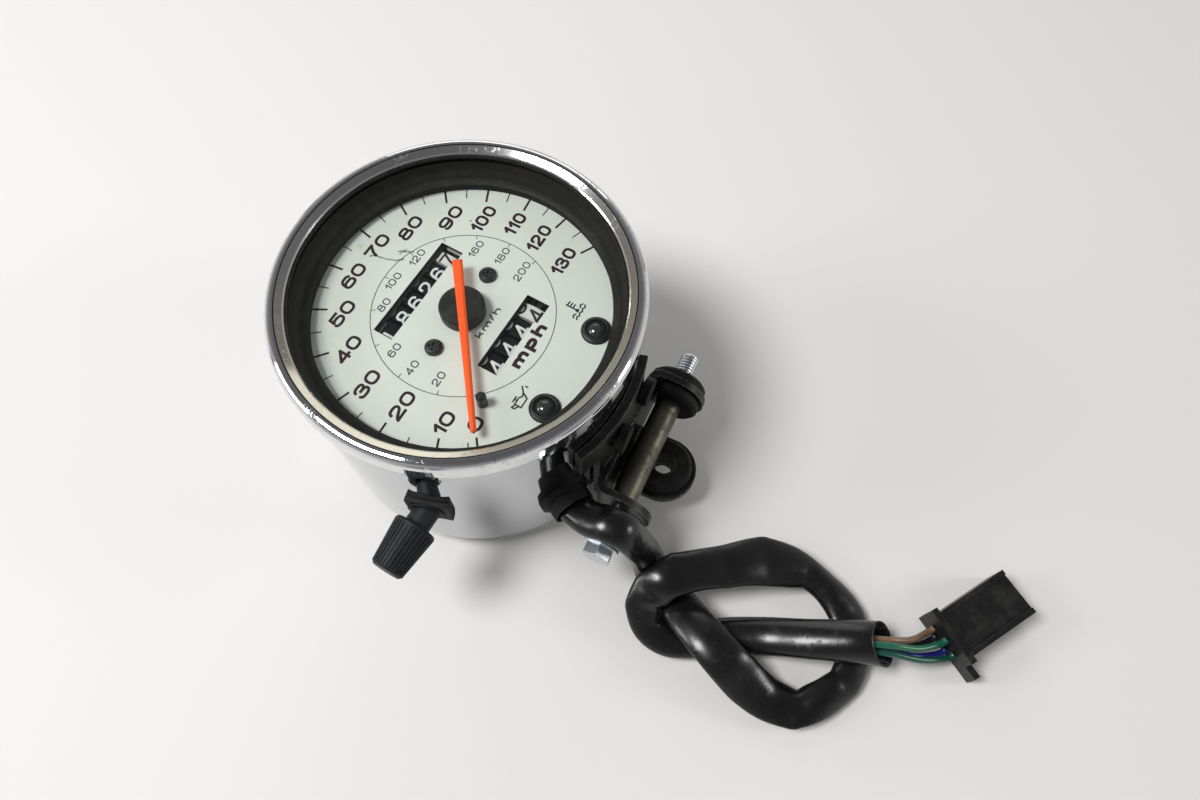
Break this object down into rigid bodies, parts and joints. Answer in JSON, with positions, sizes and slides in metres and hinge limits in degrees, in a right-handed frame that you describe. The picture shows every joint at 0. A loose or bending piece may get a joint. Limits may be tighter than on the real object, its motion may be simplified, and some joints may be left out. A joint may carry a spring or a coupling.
{
  "type": "motorcycle speedometer",
  "caption": "Round cable-driven speedometer in a chrome cup, with odometer and trip drums, a side reset knob, a rubber-mounted bracket and a knotted wiring harness.",
  "frame": {"origin": "free end of the drive cable boss, on the gauge axis, level with the face that the cup stands on", "axes": "+Z along the gauge axis out of the dial, +Y to 12 o'clock, +X to 3 o'clock"},
  "size_m": [0.1187, 0.2336, 0.078],
  "materials": {
    "chrome": "polished chrome plate with fine scratches and a few nicks",
    "clear_glass": "clear, polished",
    "black_rubber": "moulded, slightly dusty",
    "shroud_plastic": "satin dark grey-brown",
    "dial_face": "aged off-white enamel with printed scales",
    "black_hardware": "black oxide",
    "lamp_plastic": "satin black",
    "pointer_orange": "orange paint",
    "hub_plastic": "satin, worn",
    "bright_steel": "turned",
    "cast_alloy": "as cast and machined",
    "brass": "turned",
    "magnet": "ground",
    "drum_black": "satin with white numerals",
    "drum_white": "satin with black numerals",
    "knob_plastic": "moulded, worn on the ribs",
    "bracket_paint": "satin black, worn bright on the edges",
    "olive_zinc": "dull olive zinc plate",
    "bright_zinc": "bright zinc plate",
    "sheath_vinyl": "glossy soft vinyl sleeve",
    "wire_vinyl": "brown, green, blue and black insulation",
    "connector_plastic": "moulded"
  },
  "bodies": {
    "case": {"cup": "chrome", "bezel": "chrome", "glass": "clear_glass", "lamp_lenses": "clear_glass", "lamp_bulbs": "clear_glass", "bezel_seal": "black_rubber", "reset_boot": "black_rubber", "ear_mount": "black_rubber", "tab_mount": "black_rubber", "harness_grommet": "black_rubber", "dial_shroud": "shroud_plastic", "dial_plate": "dial_face", "dial_screws": "black_hardware", "stop_pin": "black_hardware", "lamp_tubes": "lamp_plastic", "lamp_sockets": "lamp_plastic", "movement_pillars": "bright_steel", "pillar_screws": "bright_steel", "case_screws": "bright_steel", "odometer_shaft": "bright_steel", "idler_pin": "bright_steel", "carry_bars": "bright_steel", "movement_base": "cast_alloy", "movement_top": "cast_alloy", "staff_bush": "brass", "hairspring": "brass", "spindle_bush": "brass", "carry_plates": "brass", "connector_pins": "brass", "bracket": "bracket_paint", "bracket_screws": "bracket_paint", "collar_tube": "olive_zinc", "tab_collar": "olive_zinc", "mounting_bolt": "bright_zinc", "harness_sheath": "sheath_vinyl", "harness_wires": "wire_vinyl", "connector": "connector_plastic"},
    "pointer_set": {"pointer": "pointer_orange", "pointer_hub": "hub_plastic", "pointer_staff": "bright_steel", "drag_cup": "cast_alloy"},
    "input_set": {"input_spindle": "bright_steel", "drive_magnet": "magnet"},
    "worm_set": {"worm_shaft": "bright_steel"},
    "pawl": {"drive_pawl": "bright_steel"},
    "idler": {"counter_idler": "brass"},
    "reset_set": {"reset_shaft": "knob_plastic", "reset_knob": "knob_plastic"},
    "trip_axle": {"trip_shaft": "bright_steel"},
    "odometer_drum_1_body": {"odometer_drum_1": "drum_black"},
    "odometer_drum_2_body": {"odometer_drum_2": "drum_black"},
    "odometer_drum_3_body": {"odometer_drum_3": "drum_black"},
    "odometer_drum_4_body": {"odometer_drum_4": "drum_black"},
    "odometer_drum_5_body": {"odometer_drum_5": "drum_black"},
    "odometer_drum_6_body": {"odometer_drum_6": "drum_white"},
    "trip_drum_1_body": {"trip_drum_1": "drum_black"},
    "trip_drum_2_body": {"trip_drum_2": "drum_black"},
    "trip_drum_3_body": {"trip_drum_3": "drum_black"},
    "trip_drum_4_body": {"trip_drum_4": "drum_white"}
  },
  "joints": [
    {"name": "pointer_turn", "type": "hinge", "parent": "case", "child": "pointer_set", "pos_m": [0, 0, 0.065], "axis": [0, 0, -1], "range_deg": [0, 247.5], "stiffness_Nm_per_rad": 0.00005},
    {"name": "input_spin", "type": "hinge", "parent": "case", "child": "input_set", "pos_m": [0, 0, 0.02], "axis": [0, 0, 1], "continuous": true},
    {"name": "worm_turn", "type": "hinge", "parent": "case", "child": "worm_set", "pos_m": [0, 0.0082, 0.0223], "axis": [1, 0, 0], "continuous": true},
    {"name": "pawl_swing", "type": "hinge", "parent": "case", "child": "pawl", "pos_m": [0.01515, 0.0082, 0.0223], "axis": [1, 0, 0], "range_deg": [-3, 3], "stiffness_Nm_per_rad": 0.001},
    {"name": "odometer_turn", "type": "hinge", "parent": "case", "child": "odometer_drum_6_body", "pos_m": [0.0133, 0.0147, 0.054], "axis": [1, 0, 0], "continuous": true},
    {"name": "odometer_turn_5", "type": "hinge", "parent": "case", "child": "odometer_drum_5_body", "pos_m": [0.00785, 0.0147, 0.054], "axis": [1, 0, 0], "continuous": true},
    {"name": "odometer_turn_4", "type": "hinge", "parent": "case", "child": "odometer_drum_4_body", "pos_m": [0.00235, 0.0147, 0.054], "axis": [1, 0, 0], "continuous": true},
    {"name": "odometer_turn_3", "type": "hinge", "parent": "case", "child": "odometer_drum_3_body", "pos_m": [-0.00315, 0.0147, 0.054], "axis": [1, 0, 0], "continuous": true},
    {"name": "odometer_turn_2", "type": "hinge", "parent": "case", "child": "odometer_drum_2_body", "pos_m": [-0.00865, 0.0147, 0.054], "axis": [1, 0, 0], "continuous": true},
    {"name": "odometer_turn_1", "type": "hinge", "parent": "case", "child": "odometer_drum_1_body", "pos_m": [-0.01415, 0.0147, 0.054], "axis": [1, 0, 0], "continuous": true},
    {"name": "idler_turn", "type": "hinge", "parent": "case", "child": "idler", "pos_m": [0.0152, -0.0006, 0.05096], "axis": [1, 0, 0], "continuous": true},
    {"name": "trip_turn_4", "type": "hinge", "parent": "case", "child": "trip_drum_4_body", "pos_m": [0.01065, -0.0159, 0.054], "axis": [1, 0, 0], "continuous": true},
    {"name": "trip_turn_3", "type": "hinge", "parent": "case", "child": "trip_drum_3_body", "pos_m": [0.00425, -0.0159, 0.054], "axis": [1, 0, 0], "continuous": true},
    {"name": "trip_turn_2", "type": "hinge", "parent": "case", "child": "trip_drum_2_body", "pos_m": [-0.00215, -0.0159, 0.054], "axis": [1, 0, 0], "continuous": true},
    {"name": "trip_turn_1", "type": "hinge", "parent": "case", "child": "trip_drum_1_body", "pos_m": [-0.00855, -0.0159, 0.054], "axis": [1, 0, 0], "continuous": true},
    {"name": "reset_turn", "type": "hinge", "parent": "case", "child": "reset_set", "pos_m": [-0.06, -0.0159, 0.04038], "axis": [1, 0, 0], "continuous": true},
    {"name": "trip_axle_turn", "type": "hinge", "parent": "case", "child": "trip_axle", "pos_m": [0, -0.0159, 0.054], "axis": [1, 0, 0], "continuous": true}
  ],
  "couplings": [
    {"joint": "worm_turn", "follows": "input_spin", "ratio": 0.0625},
    {"joint": "odometer_turn_5", "follows": "odometer_turn", "ratio": 0.1},
    {"joint": "odometer_turn_4", "follows": "odometer_turn", "ratio": 0.01},
    {"joint": "odometer_turn_3", "follows": "odometer_turn", "ratio": 0.001},
    {"joint": "odometer_turn_2", "follows": "odometer_turn", "ratio": 0.0001},
    {"joint": "odometer_turn_1", "follows": "odometer_turn", "ratio": 0.00001},
    {"joint": "idler_turn", "follows": "odometer_turn", "ratio": -1.25},
    {"joint": "trip_turn_4", "follows": "odometer_turn", "ratio": 1},
    {"joint": "trip_turn_3", "follows": "odometer_turn", "ratio": 0.1},
    {"joint": "trip_turn_2", "follows": "odometer_turn", "ratio": 0.01},
    {"joint": "trip_turn_1", "follows": "odometer_turn", "ratio": 0.001},
    {"joint": "trip_axle_turn", "follows": "reset_turn", "ratio": -1}
  ]
}
